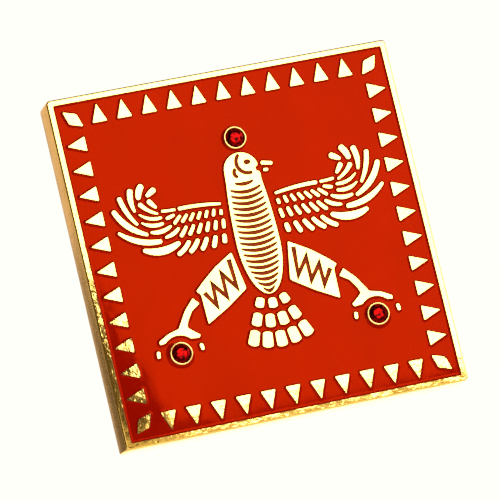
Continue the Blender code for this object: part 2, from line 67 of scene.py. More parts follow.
# The enamel, which creeps up the metal round it
ENAMEL_LEVEL = 2.9
ENAMEL_UNDERSIDE = 2.53
ENAMEL_GAP = 0.02
FIELD_CORNER = 0.12
FIELD_RINGS = (0.03, 0.07, 0.12, 0.2, 0.3, 0.42)
FIELD_SPACING = 0.15
FIELD_GRID = 0.7
CELL_RINGS = (0.03, 0.06)
CELL_SPACING = 0.08
WETTED_EDGE = 0.02
WAVE_SIZE = 3.2
WAVE_HEIGHT = 0.0022

# How far from the metal the enamel's climb starts, and how high it gets
LAND_CLIMB = (0.12, 0.03)
RIM_CLIMB = (0.14, 0.035)
CUP_CLIMB = (0.24, 0.024)
CELL_CLIMB = (0.08, 0.02)

# The border
TEETH = 11
TOOTH_PITCH = 2.17
TOOTH_BASE = 1.4
TOOTH_HEIGHT = 1.72
TOOTH_INNER = 12.42
TOOTH_ROUND = 0.2
LOZENGE_CENTRE = 13.07
LOZENGE_LONG = 1.12
LOZENGE_SHORT = 0.6

# The bird
BODY_WIDTH = 1.9
BODY_DROP = 4.55
NECK_HEIGHT = 5.2
NECK_TAPER = 0.32
HEAD_CENTRE = (0.05, 6.2)
HEAD_RADIUS = 1.55
STRIPES = 19
STRIPE_PITCH = 0.505
STRIPE_TOP = 4.65
STRIPE_MARGIN = 0.32
STRIPE_SAG = 0.33
STRIPE_WIDTH = 0.3
STRIPE_TAPER = 0.45
NECK_STRIPE_REACH = 0.62
NECK_STRIPE_SAG = 0.45
ZIGZAG_WIDTH = 0.37
ARCH_RADIUS = 1.5
CLAW_RADIUS = 1.9
CLAW_WIDTHS = (0.38, 0.38, 0.34)
TAIL_PIVOT = (0.0, -2.5)
TAIL_HALF_SPREAD = 22.5
LEFT_WING_SCALE = 0.97
LEFT_WING_CENTRE = (2.3, 3.5)

# The curled tip of the right wing: each feather's root, tip, widths at root, middle and tip, and bow
TIP_FEATHERS = [
    ((6.66, 1.14), (10.06, 1.04), (0.4, 0.74, 0.36), 0.45),
    ((8.16, 1.5), (11.84, 2.94), (0.44, 0.56, 0.3), 0.43),
    ((9.22, 2.24), (11.84, 4.92), (0.34, 0.58, 0.46), 0.42),
    ((9.93, 3.22), (11.06, 5.98), (0.3, 0.46, 0.46), 0.2),
    ((9.93, 4.36), (9.9, 6.5), (0.26, 0.52, 0.54), 0.19),
    ((9.4, 5.36), (8.78, 6.68), (0.42, 0.62, 0.56), 0.15),
    ((8.72, 5.54), (7.74, 6.12), (0.3, 0.54, 0.54), 0.0),
    ((7.06, 2.7), (9.06, 2.44), (0.28, 0.44, 0.28), 0.25),
    ((7.66, 3.02), (9.66, 3.42), (0.3, 0.4, 0.18), 0.26),
    ((7.7, 3.53), (9.7, 4.18), (0.3, 0.36, 0.18), 0.27),
    ((7.96, 3.88), (9.48, 5.12), (0.26, 0.38, 0.48), 0.16),
    ((7.98, 4.38), (8.66, 5.26), (0.26, 0.46, 0.48), 0.02),
]

# The stones and their cups
STONES = {"crest": (0.12, 9.0), "left_claw": (-8.65, -8.0), "right_claw": (8.65, -8.0)}
CUP_RADIUS = 0.98
CUP_WALL = 0.17
CUP_BOTTOM = 1.3
CUP_LIP = 3.16
STONE_RADIUS = 0.79
STONE_TOP = 3.24
TABLE_RADIUS = 0.44
STAR_RADIUS = 0.63
KEEL_RADIUS = 0.5
STONE_TURN = 11

# The posts
POSTS = {"left": -6.5, "right": 6.5}
POST_Z = 2.0
POST_RADIUS = 0.55
POST_LENGTH = 8.0
POST_FOOT_RADIUS = 1.2
POST_FOOT_HEIGHT = 0.25
POST_POINT = 0.85
NOTCH_DROP = 1.7
NOTCH_DEPTH = 0.13

# The clutches
CLOTH = 2.2
DISC_RADIUS = 5.7
DISC_THICKNESS = 0.45
DISC_HOLE = 0.63
CASE_RADIUS = 3.15
CASE_WALL = 0.3
CASE_TOP = 3.0
WINDOW_LOW = 1.1
WINDOW_HIGH = 2.45
CASE_HOLE = 0.85
CASE_STEPS = 96
WINDOW_STEPS = 9
WING_PIVOT_RADIUS = 3.0
WING_PIVOT_HEIGHT = 1.55
SPRING_WIRE = 0.14

# How lines turn and end, and how finely shapes are made
FILLET_LIMIT = 0.45
MITRE_LIMIT = 2
BLUNT_MITRE = 1.3
ROUND_END = 0.85
BLUNT_END = 0.5
END_LIMIT = 0.4
END_ANGLES = (0.35, 0.8, 1.2)
LENGTH_STEPS = 12
ROUND_SIDES = 48
SAMPLE_SPACING = 0.03
WELD = 0.0002
ON_AXIS = 0.0001
BEVEL_ANGLE = 50

# The camera and the stage, in millimetres and degrees
LENS = 286.6
CAMERA_ANGLES = (-15.067, -8.899, 13.5)
CAMERA_AIM = (-0.8625, -3.0, -0.601)
CAMERA_DISTANCE = 332.0
FLOOR_LEVEL = -150.0
HORIZON_RADIUS = 1500


# ---- Outlines on the face


def arc(centre, radii, start, end, steps):
    """Points along an ellipse between two angles in degrees, ends included."""
    points = []
    for k in range(steps + 1):
        angle = math.radians(start + (end - start) * k / steps)
        points.append((centre[0] + radii[0] * math.cos(angle), centre[1] + radii[1] * math.sin(angle)))
    return points


def circle(centre, radius, steps):
    """A closed circle."""
    return arc(centre, (radius, radius), 0, 360, steps)[:-1]


def polar(pivot, radius, angle):
    """The point at a radius and an angle in degrees from a pivot."""
    turn = math.radians(angle)
    return (pivot[0] + radius * math.cos(turn), pivot[1] + radius * math.sin(turn))


def between(first, second, t):
    """The value or point a fraction t of the way between two."""
    if isinstance(first, tuple):
        return tuple(between(a, b, t) for a, b in zip(first, second))
    return first + (second - first) * t


def mirrored(points):
    """The outline's mirror image across the badge's middle."""
    return [(-x, z) for x, z in points]


def turned(points, quarter):
    """The outline turned by quarter turns about the badge's centre."""
    for _ in range(quarter):
        points = [(-z, x) for x, z in points]
    return points


def rounded(corners, radius, steps=4, closed=True, sharp=()):
    """The line with each corner replaced by a fillet. An open line keeps its ends."""
    points = []
    last = len(corners) - 1
    for k, corner in enumerate(corners):
        if k in sharp or (not closed and k in (0, last)):
            points.append(corner)
            continue
        ends = []
        for neighbour in (corners[k - 1], corners[(k + 1) % len(corners)]):
            share = min(radius / math.dist(corner, neighbour), FILLET_LIMIT)
            ends.append(between(corner, neighbour, share))
        for step in range(steps + 1):
            t = step / steps
            points.append(between(between(ends[0], corner, t), between(corner, ends[1], t), t))
    return points


def square(half, radius, steps=6):
    """A square with rounded corners."""
    return rounded([(-half, -half), (half, -half), (half, half), (-half, half)], radius, steps)


def normals(points, closed=False):
    """The unit normal to the right of the path at each point, and how far a mitre reaches there."""
    result = []
    last = len(points) - 1
    for k, point in enumerate(points):
        before = points[k - 1] if closed or k > 0 else point
        after = points[(k + 1) % len(points)] if closed or k < last else point
        sides = []
        for start, end in ((before, point), (point, after)):
            length = math.dist(start, end)
            if length > 0:
                sides.append(((end[1] - start[1]) / length, (start[0] - end[0]) / length))
        x = sum(side[0] for side in sides)
        z = sum(side[1] for side in sides)
        size = math.hypot(x, z)
        normal = (x / size, z / size)
        mitre = 1 / (normal[0] * sides[0][0] + normal[1] * sides[0][1])
        result.append((normal, mitre))
    return result


def grown(points, distance):
    """The closed outline moved outwards, or inwards by a negative distance."""
    area = sum(a[0] * b[1] - b[0] * a[1] for a, b in zip(points, points[1:] + points[:1]))
    outward = math.copysign(distance, area * distance)
    moved = []
    for (x, z), (normal, mitre) in zip(points, normals(points, closed=True)):
        reach = outward * min(mitre, MITRE_LIMIT)
        moved.append((x + normal[0] * reach, z + normal[1] * reach))
    return moved


def resampled(points, spacing, closed=True):
    """The outline with points added, so that they are about a spacing apart."""
    result = []
    for start, end in zip(points, points[1:] + points[:1] if closed else points[1:]):
        count = max(1, round(math.dist(start, end) / spacing))
        result.extend(between(start, end, k / count) for k in range(count))
    return result if closed else result + points[-1:]


def stroke(path, widths, steps, cap=ROUND_END):
    """A line along path(t) with a width at its root, middle and tip, and round ends."""
    root, middle, tip = widths
    marks = [path(k / LENGTH_STEPS) for k in range(LENGTH_STEPS + 1)]
    length = sum(math.dist(start, end) for start, end in zip(marks, marks[1:]))
    near, far = (min(cap * width / 2 / length, END_LIMIT) for width in (root, tip))
    stations = [(0, 0)]
    stations += [(near * (1 - math.cos(a)), math.sin(a)) for a in END_ANGLES]
    stations += [(near + (1 - near - far) * k / steps, 1) for k in range(steps + 1)]
    stations += [(1 - far * (1 - math.cos(a)), math.sin(a)) for a in END_ANGLES[::-1]]
    stations.append((1, 0))
    centres = [path(t) for t, _ in stations]
    sides = ([], [])
    for (t, share), centre, (normal, _) in zip(stations, centres, normals(centres)):
        swell = 4 * t * (1 - t) * (middle - (root + tip) / 2)
        half = (between(root, tip, t) + swell) / 2 * share
        for side, sign in zip(sides, (1, -1)):
            side.append((centre[0] + sign * half * normal[0], centre[1] + sign * half * normal[1]))
    return sides[0] + sides[1][-2:0:-1]


def blade(root, tip, widths, bow=0.0, cap=ROUND_END):
    """A feather from root to tip, bowed sideways by a distance."""
    length = math.dist(root, tip)
    across = ((tip[1] - root[1]) / length, (root[0] - tip[0]) / length)

    def path(t):
        middle = between(root, tip, t)
        bend = bow * 4 * t * (1 - t)
        return (middle[0] + across[0] * bend, middle[1] + across[1] * bend)

    return stroke(path, widths, 8, cap)


def swept(pivot, radii, angles, widths):
    """A feather that sweeps round a pivot."""

    def path(t):
        return polar(pivot, between(*radii, t), between(*angles, t))

    return stroke(path, widths, 10)


def zigzag(points, width):
    """A line of constant width through sharp turns, blunt outside each turn."""
    sides = ([], [])
    for k, ((x, z), (normal, mitre)) in enumerate(zip(points, normals(points))):
        before = points[k - 1]
        after = points[(k + 1) % len(points)]
        turn = (x - before[0]) * (after[1] - z) - (z - before[1]) * (after[0] - x)
        for side, sign in zip(sides, (1, -1)):
            limit = BLUNT_MITRE if turn * sign > 0 else math.inf
            reach = sign * width / 2 * min(mitre, limit)
            side.append((x + normal[0] * reach, z + normal[1] * reach))
    return sides[0] + sides[1][::-1]


def field_outline():
    """The square that the rim leaves for the enamel."""
    return square(SIDE / 2 - RIM, FIELD_CORNER, 4)


def border_outlines():
    """Eleven triangles a side that point outwards, and a lozenge in each corner."""
    half = TOOTH_BASE / 2
    shapes = []
    for k in range(TEETH):
        x = (k - (TEETH - 1) / 2) * TOOTH_PITCH
        shapes.append([(x - half, TOOTH_INNER), (x + half, TOOTH_INNER), (x, TOOTH_INNER + TOOTH_HEIGHT)])
    middle = (LOZENGE_CENTRE, LOZENGE_CENTRE)
    reaches = (LOZENGE_LONG, LOZENGE_SHORT) * 2
    shapes.append([polar(middle, reach, 45 + 90 * k) for k, reach in enumerate(reaches)])
    return [turned(rounded(corners, TOOTH_ROUND), side) for side in range(4) for corners in shapes]


def body_half_width(z):
    """Half the body's width at a height on the face."""
    if z < 0:
        return BODY_WIDTH * math.sqrt(1 - (z / BODY_DROP) ** 2)
    return BODY_WIDTH - NECK_TAPER * (z / NECK_HEIGHT) ** 2


def body_outline():
    """Breast, neck and head in one, with a nick where the beak begins."""
    belly = arc((0, 0), (BODY_WIDTH, BODY_DROP), 180, 360, 40)
    flank = [(body_half_width(z), z) for z in (0.9, 1.8, 2.7, 3.6, 4.4, NECK_HEIGHT)]
    beak_nick = [(1.62, 5.62), (1.56, 5.84), (1.32, 5.98), (1.3, 6.2), (1.48, 6.32)]
    head = arc(HEAD_CENTRE, (HEAD_RADIUS, HEAD_RADIUS), 12, 180, 24)
    return belly + flank + beak_nick + head + mirrored(flank[::-1])


def stripe_outline(k):
    """A smile-shaped stripe across the breast. The first, on the neck, is short."""
    height = STRIPE_TOP - STRIPE_PITCH * (k - 1)
    reach = body_half_width(height - STRIPE_SAG / 2) - STRIPE_MARGIN
    sag = STRIPE_SAG
    if k == 0:
        reach *= NECK_STRIPE_REACH
        sag *= NECK_STRIPE_SAG
    shares = (0, 0.15, 0.3, 0.45, 0.6, 0.75, 0.88, 0.95)
    upper = []
    lower = []
    for t in [-share for share in shares[:0:-1]] + list(shares):
        middle = height - sag * (1 - t * t)
        half = STRIPE_WIDTH * (1 - STRIPE_TAPER * abs(t) ** 1.5) / 2 * math.sqrt(1 - abs(t) ** 16)
        upper.append((reach * t, middle + half))
        lower.append((reach * t, middle - half))
    return [(-reach, height)] + lower + [(reach, height)] + upper[::-1]


def head_cells():
    """The enamel in the head: an eye, the curl round it and a mark on the cheek."""
    return {
        "head_eye": arc((0.66, 6.8), (0.29, 0.2), 0, 360, 20)[:-1],
        "head_curl": swept((0.68, 6.78), (0.98, 0.92), (128, 285), (0.24, 0.3, 0.26)),
        "head_cheek": swept((-0.25, 6.05), (0.38, 0.42), (120, 250), (0.24, 0.29, 0.26)),
    }


def beak_outlines():
    """The beak's two parts."""
    return [
        blade((1.76, 6.52), (2.84, 6.3), (0.42, 0.4, 0.36)),
        blade((1.84, 5.88), (2.36, 5.84), (0.32, 0.34, 0.32)),
    ]


def wing_outlines():
    """The right wing: a leading edge, three rows of coverts and the curled tip."""
    outlines = [
        blade((2.34, 3.72), (6.24, 3.98), (0.3, 0.37, 0.4), -0.1),
        blade((6.38, 3.98), (7.74, 4.06), (0.3, 0.32, 0.32), 0.02),
        blade((6.56, 3.58), (7.48, 3.33), (0.26, 0.38, 0.3), 0.03),
    ]
    for k in range(7):
        x = 2.48 + 0.6 * k
        outlines.append(blade((x, 3.44 if k else 3.3), (x + 0.1 + 0.115 * k, 2.72), (0.31, 0.36, 0.36)))
    for k in range(6):
        x = 2.48 + 0.66 * k
        outlines.append(blade((x, 2.44), (x + 0.14 + 0.13 * k, 1.52), (0.31, 0.4, 0.38), 0.01 * k))
    outlines.append(blade((6.44, 2.4), (7.92, 1.74), (0.3, 0.42, 0.24), 0.16))
    for k in range(5):
        x = 2.7 + 0.78 * k
        tip = (x + 0.14 + 0.3 * k, 0.04 if k else 0.24)
        outlines.append(blade((x, 1.14), tip, (0.4, 0.48, 0.44), 0.035 * k))
    return outlines + [blade(*feather) for feather in TIP_FEATHERS]


def left_wing(outline):
    """A right wing's outline as the slightly smaller left wing has it."""
    x, z = LEFT_WING_CENTRE
    return mirrored([between((x, z), point, LEFT_WING_SCALE) for point in outline])


def thigh_outline():
    """The right thigh, a broad leaf from the breast to the knee."""
    corners = [(2.46, -0.42), (4.2, -1.45), (5.35, -2.35), (6.25, -3.15)]
    corners += [(5.88, -3.5), (5.82, -6.1), (3.8, -5.0), (1.88, -3.72)]
    return rounded(corners, 0.2)


def thigh_zigzag():
    """The enamel zigzag in the right thigh."""
    points = []
    for k in range(3):
        points.append((2.85 + 0.95 * k, -1.05 - 0.8 * k))
        points.append((2.62 + 1.02 * k, -3.7 - 0.6 * k))
    points.append((5.52, -3.42))
    return zigzag(points, ZIGZAG_WIDTH)


def leg_outlines():
    """The right leg with its arched foot, and the claws on each side of the stone."""
    stone = STONES["right_claw"]
    shin = [(6.62, -3.58), (7.55, -4.55), (8.4, -5.92), (9.35, -6.16), (10.28, -6.66), (10.26, -7.02)]
    arch = arc(stone, (ARCH_RADIUS, ARCH_RADIUS), 44, 136, 18)
    calf = [(6.78, -7.04), (6.62, -6.74), (7.12, -6.36), (7.58, -5.96)]
    calf += [(7.42, -5.5), (6.9, -4.72), (6.1, -4.2)]
    leg = rounded(shin + arch + calf, 0.13, 4, sharp=range(len(shin), len(shin + arch)))
    radii = (CLAW_RADIUS, CLAW_RADIUS)
    return [leg] + [swept(stone, radii, angles, CLAW_WIDTHS) for angles in ((17, -3), (163, 183))]


def tail_outlines():
    """Three rows of tail feathers, of three, four and five."""
    outlines = []
    for count, near, far, width in ((3, 2.35, 3.3, 0.84), (4, 3.68, 4.9, 0.92), (5, 5.18, 6.62, 1.0)):
        for k in range(count):
            angle = -90 + TAIL_HALF_SPREAD * (2 * k / (count - 1) - 1)
            root = polar(TAIL_PIVOT, near, angle)
            tip = polar(TAIL_PIVOT, far, angle)
            outlines.append(blade(root, tip, (width * 0.85, width * 0.95, width), cap=BLUNT_END))
    return outlines


def cell_outlines():
    """Every small enamel cell inside the bird, by its node's name."""
    stripes = {f"breast_stripe_{k + 1:02d}": stripe_outline(k) for k in range(STRIPES)}
    right = thigh_zigzag()
    return {**stripes, **head_cells(), "thigh_zigzag_right": right, "thigh_zigzag_left": mirrored(right)}


def islands(cells):
    """Every island of metal as (outline, the enamel cells in it)."""
    plain = border_outlines() + beak_outlines() + tail_outlines()
    legs = leg_outlines()
    wing = wing_outlines()
    plain += legs + [mirrored(outline) for outline in legs] + wing + [left_wing(outline) for outline in wing]
    body = [outline for name, outline in cells.items() if not name.startswith("thigh")]
    thigh = thigh_outline()
    pierced = [(body_outline(), body), (thigh, [cells["thigh_zigzag_right"]])]
    pierced.append((mirrored(thigh), [cells["thigh_zigzag_left"]]))
    return [(outline, []) for outline in plain] + pierced


# ---- Meshes


class Shell:
    """A surface being built: points in millimetres, and faces with a slot and a flat mark each."""

    def __init__(self):
        self.points = []
        self.faces = []

    def loop(self, points):
        """Add points and return their numbers."""
        start = len(self.points)
        self.points.extend(points)
        return list(range(start, len(self.points)))

    def ring(self, outline, height):
        """Add an outline at a height."""
        return self.loop([(x, z, height) for x, z in outline])

    def face(self, numbers, slot=0, flat=False):
        """Add a face, leaving out repeated points."""
        numbers = tuple(dict.fromkeys(numbers))
        if len(numbers) > 2:
            self.faces.append((numbers, slot, flat))

    def strip(self, first, second, slot=0, flat=False, closed=True):
        """Join two loops of equal length."""
        count = len(first)
        for k in range(count if closed else count - 1):
            after = (k + 1) % count
            self.face((first[k], first[after], second[after], second[k]), slot, flat)

    def strips(self, loops, slot=0, closed=True):
        """Join each loop to the next."""
        for first, second in zip(loops, loops[1:]):
            self.strip(first, second, slot, closed=closed)

    def region(self, outer, holes, height, slot=0):
        """Fill an outline outside its holes, at a height."""
        points, triangles = filled(outer, holes)
        numbers = self.loop([(x, z, height) for x, z in points])
        for triangle in triangles:
            self.face([numbers[k] for k in triangle], slot, True)

    def piece(self, name, materials, matrix=Matrix.Identity(4)):
        """The finished object, placed by the matrix and turned into metres."""
        mesh = bpy.data.meshes.new(name)
        faces, slots, flats = zip(*self.faces)
        mesh.from_pydata(self.points, [], faces)
        mesh.polygons.foreach_set("material_index", slots)
        mesh.polygons.foreach_set("use_smooth", [not flat for flat in flats])
        work = bmesh.new()
        work.from_mesh(mesh)
        bmesh.ops.remove_doubles(work, verts=work.verts, dist=WELD)
        loose = [vertex for vertex in work.verts if not vertex.link_faces]
        bmesh.ops.delete(work, geom=loose, context="VERTS")
        bmesh.ops.recalc_face_normals(work, faces=work.faces)
        work.to_mesh(mesh)
        work.free()
        mesh.transform(Matrix.Scale(MM, 4) @ matrix)
        mesh.update()
        for material in materials:
            mesh.materials.append(material)
        piece = bpy.data.objects.new(name, mesh)
        bpy.context.scene.collection.objects.link(piece)
        return piece


def enclosed(points, outlines):
    """Which points lie inside an odd number of the outlines."""
    starts = np.array([point for outline in outlines for point in outline])
    ends = np.array([point for outline in outlines for point in outline[1:] + outline[:1]])
    slope = (ends[:, 0] - starts[:, 0]) / np.where(ends[:, 1] == starts[:, 1], 1, ends[:, 1] - starts[:, 1])
    result = []
    for x, z in points:
        crossed = (starts[:, 1] > z) != (ends[:, 1] > z)
        to_the_right = starts[crossed, 0] + slope[crossed] * (z - starts[crossed, 1]) > x
        result.append(np.count_nonzero(to_the_right) % 2 == 1)
    return result


def filled(outer, holes, inside=()):
    """Points and triangles that fill an outline outside its holes."""
    points = []
    edges = []
    for outline in (outer, *holes):
        numbers = range(len(points), len(points) + len(outline))
        edges.extend((k, k + 1) for k in numbers[:-1])
        edges.append((numbers[-1], numbers[0]))
        points.extend(outline)
    points.extend(inside)
    result = delaunay_2d_cdt([Vector(point) for point in points], edges, [], 0, 1e-7)
    made = [tuple(point) for point in result[0]]
    centres = [tuple(sum(made[k][axis] for k in face) / 3 for axis in (0, 1)) for face in result[2]]
    kept = enclosed(centres, [outer, *holes])
    return made, [face for face, keep in zip(result[2], kept) if keep]


def clearance(points, outlines):
    """The distance from each point to the nearest of the outlines."""
    dense = [point for outline in outlines for point in resampled(outline, SAMPLE_SPACING)]
    tree = KDTree(len(dense))
    for k, (x, z) in enumerate(dense):
        tree.insert((x, z, 0), k)
    tree.balance()
    return np.array([tree.find((x, z, 0))[2] for x, z in points])


def edge_profile(radius, steps=4):
    """A rounded edge from wall to top, as pairs of how far in and how far down."""
    pairs = []
    for k in range(steps + 1):
        angle = math.pi / 2 * k / steps
        pairs.append((radius * (1 - math.cos(angle)), radius * (1 - math.sin(angle))))
    return pairs


def lathe(profile, steps, closed=False, shape=None):
    """A profile of (radius, height) turned about the local height axis. shape can move each point."""
    shell = Shell()
    loops = []
    for radius, height in profile:
        if radius < ON_AXIS:
            loops.append(shell.loop([(0, 0, height)]) * steps)
            continue
        points = []
        for k in range(steps):
            angle = 2 * math.pi * k / steps
            r, h = shape(angle, radius, height) if shape else (radius, height)
            points.append((r * math.cos(angle), r * math.sin(angle), h))
        loops.append(shell.loop(points))
    shell.strips(loops + loops[:1] if closed else loops)
    return shell


def install(shell, name, materials, matrix, body, slot, node, crease=None, rounding=None):
    """Make a piece on its body and in place of its CAD node, which is hidden. slot is not used.

    crease is the least angle that stays sharp, in degrees, and rounding is the width of its bevels.
    """
    piece = shell.piece(name, materials, matrix)
    if crease:
        piece.data.shade_smooth()
        piece.data.set_sharp_from_angle(angle=math.radians(crease))
    if rounding:
        bevel = piece.modifiers.new("edges", "BEVEL")
        bevel.width = rounding * MM
        bevel.segments = 3
        bevel.limit_method = "ANGLE"
        bevel.angle_limit = math.radians(BEVEL_ANGLE)
    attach(piece, body)
    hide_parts(node)


# ---- Materials


def feed(node, key, value):
    """Link a node's input to a socket, or set its value. A colour comes without alpha."""
    socket = node.inputs[key]
    if isinstance(value, bpy.types.NodeSocket):
        node.id_data.links.new(value, socket)
    else:
        socket.default_value = (*value, 1) if socket.type == "RGBA" else value


def add_node(near, kind, inputs=None, **settings):
    """A shader node in the same tree as something else, with its settings and inputs."""
    node = near.id_data.nodes.new("ShaderNode" + kind)
    for key, value in settings.items():
        setattr(node, key, value)
    for key, value in (inputs or {}).items():
        feed(node, key, value)
    return node


def new_material(name, **values):
    """A Principled material, its shader and its object coordinates."""
    material = bpy.data.materials.new(name)
    material.use_nodes = True
    tree = material.node_tree
    shader = tree.nodes["Principled BSDF"]
    for key, value in values.items():
        feed(shader, key.replace("_", " "), value)
    place = add_node(tree, "TexCoord").outputs["Object"]
    return material, shader, place


def grain(place, size, detail=3.0, roughness=0.55, shift=0.0):
    """Noise with features of a size in millimetres along x, y and z."""
    scale = [1 / (length * MM) for length in size]
    moved = add_node(place, "Mapping", {"Vector": place, "Scale": scale, "Location": (shift, shift, shift)})
    inputs = {"Vector": moved.outputs[0], "Scale": 1.0, "Detail": detail, "Roughness": roughness}
    return add_node(place, "TexNoise", inputs).outputs["Fac"]


def ranged(value, low, high, start=0.0, end=1.0):
    """The value's range from low to high stretched to start to end."""
    inputs = {"Value": value, "From Min": low, "From Max": high, "To Min": start, "To Max": end}
    return add_node(value, "MapRange", inputs).outputs[0]


def blended(share, first, second):
    """A colour between two others."""
    node = add_node(share, "Mix", data_type="RGBA")
    for key, value in (("Factor", share), (6, first), (7, second)):
        feed(node, key, value)
    return node.outputs[2]


def combined(operation, first, second):
    """Two values put together."""
    return add_node(first, "Math", {0: first, 1: second}, operation=operation).outputs[0]


def bumped(height, distance, strength=1.0, normal=None):
    """A bump in millimetres."""
    inputs = {"Height": height, "Distance": distance * MM, "Strength": strength}
    if normal:
        inputs["Normal"] = normal
    return add_node(height, "Bump", inputs).outputs[0]


def metal(name, colour, dark, roughness, lines, pits, line_depth, stain=0.0, graze=(1, 1, 1), wave=0.0):
    """A plated metal with hairlines and pits of a size in millimetres, and a slow change of tone."""
    material, shader, place = new_material(name, Metallic=1.0, Specular_Tint=graze)
    hair = grain(place, lines, 4.0, 0.6)
    cloud = grain(place, (2.3, 2.3, 2.3), 4.0, 0.6, 7.0)
    spot = grain(place, (pits, pits, pits), 2.0, 0.5, 3.0)
    tone = ranged(cloud, 0.35, 0.75, 0.0, 0.45)
    speck = ranged(spot, 0.66, 0.78, 0.0, 0.7 + stain)
    share = combined("MAXIMUM", tone, speck)
    feed(shader, "Base Color", blended(share, colour, dark))
    brushed = ranged(hair, 0.3, 0.7, *roughness)
    rough = combined("ADD", brushed, combined("MULTIPLY", share, 0.04))
    feed(shader, "Roughness", rough)
    fine = bumped(hair, line_depth, 1.0, bumped(cloud, wave))
    feed(shader, "Normal", bumped(spot, line_depth, 0.5, fine))
    return material


def enamel_material(name, pale, deep, shine):
    """Glossy enamel with dark specks and soft waves. shine is how metallic it looks."""
    material, shader, place = new_material(name, Metallic=shine, Specular_IOR_Level=0.5)
    feed(shader, "Specular Tint", (0.66, 0.055, 0.0))
    cloud = grain(place, (4.0, 4.0, 6.0), 3.0, 0.5)
    speck = grain(place, (0.16, 0.16, 0.16), 1.0, 0.4, 5.0)
    streak = grain(place, (0.5, 3.0, 4.5), 3.0, 0.5, 2.0)
    tone = blended(ranged(cloud, 0.3, 0.7), deep, pale)
    spotted = blended(ranged(speck, 0.77, 0.83, 0.0, 0.75), tone, (0.12, 0.003, 0.0002))
    feed(shader, "Base Color", spotted)
    feed(shader, "Roughness", ranged(streak, 0.3, 0.7, 0.02, 0.045))
    feed(shader, "Normal", bumped(cloud, 0.004))
    return material


def stone_material():
    """Dark red, foiled cut glass as an opaque mirror: each facet is bright or almost black."""
    material, shader, place = new_material("red_stone", Metallic=0.75, Specular_IOR_Level=0.05)
    cloud = grain(place, (0.3, 0.3, 0.3), 2.0)
    share = ranged(cloud, 0.4, 0.6)
    deep = blended(share, (0.02, 0.0002, 0.0001), (0.3, 0.0012, 0.0006))
    feed(shader, "Base Color", deep)
    feed(shader, "Roughness", ranged(cloud, 0.3, 0.7, 0.02, 0.1))
    return material


# Each metal's colour, dark tone, range of roughness, size of hairlines, size of pits and bump depth
METALS = {
    "gold_face": ((1.0, 0.66, 0.16), (0.72, 0.36, 0.06), (0.015, 0.04), (0.16, 3.0, 2.6), 0.11, 0.0005),
    # gold_edge is painted shade: a dark brown copy of the gold for the walls and rounded edges of the
    # islands, the cells and the field, standing in for the shade and dark reflections along them
    "gold_edge": ((0.26, 0.1, 0.035), (0.1, 0.04, 0.015), (0.42, 0.5), (0.3, 0.3, 0.3), 0.11, 0.002),
    "gold_wall": ((0.84, 0.52, 0.21), (0.2, 0.09, 0.03), (0.16, 0.3), (0.07, 0.3, 0.07), 0.22, 0.008),
    "gold_back": ((0.9, 0.67, 0.32), (0.6, 0.4, 0.16), (0.28, 0.4), (0.14, 0.14, 0.14), 0.1, 0.012),
    "gold_cup": ((1.0, 0.66, 0.2), (0.6, 0.34, 0.09), (0.14, 0.24), (0.3, 0.3, 0.05), 0.09, 0.002),
    "brass": ((0.86, 0.65, 0.32), (0.5, 0.34, 0.14), (0.2, 0.32), (1.2, 0.1, 0.05), 0.12, 0.004),
    "steel": ((0.66, 0.64, 0.6), (0.36, 0.34, 0.31), (0.18, 0.3), (0.3, 0.06, 0.3), 0.1, 0.003),
    "spring_steel": ((0.7, 0.69, 0.66), (0.4, 0.38, 0.36), (0.14, 0.24), (0.06, 0.06, 0.06), 0.08, 0.002),
    "solder": ((0.74, 0.72, 0.68), (0.4, 0.38, 0.34), (0.3, 0.5), (0.2, 0.2, 0.2), 0.12, 0.012),
}
EXTRAS = {"gold_face": {"wave": 0.009}, "gold_wall": {"stain": 0.25, "graze": (1, 0.74, 0.46)}}
METAL = {name: metal(name, *look, **EXTRAS.get(name, {})) for name, look in METALS.items()}
ENAMEL = enamel_material("red_enamel", (0.375, 0.005, 0.0002), (0.33, 0.004, 0.0001), 0.075)
# The cell enamel is painted shade: a darker, browner copy of the red enamel, standing in for the shade that
# the metal round each narrow cell casts into it
CELL_ENAMEL_PAINTED_SHADE = enamel_material("cell_enamel_painted_shade", (0.34, 0.05, 0.015), (0.26, 0.035, 0.01), 0.0)
STONE = stone_material()


# ---- The plate and its enamel


def plate_outline(inset):
    """The plate's own outline, moved inwards."""
    return square(SIDE / 2 - inset, CORNER_RADIUS - inset)


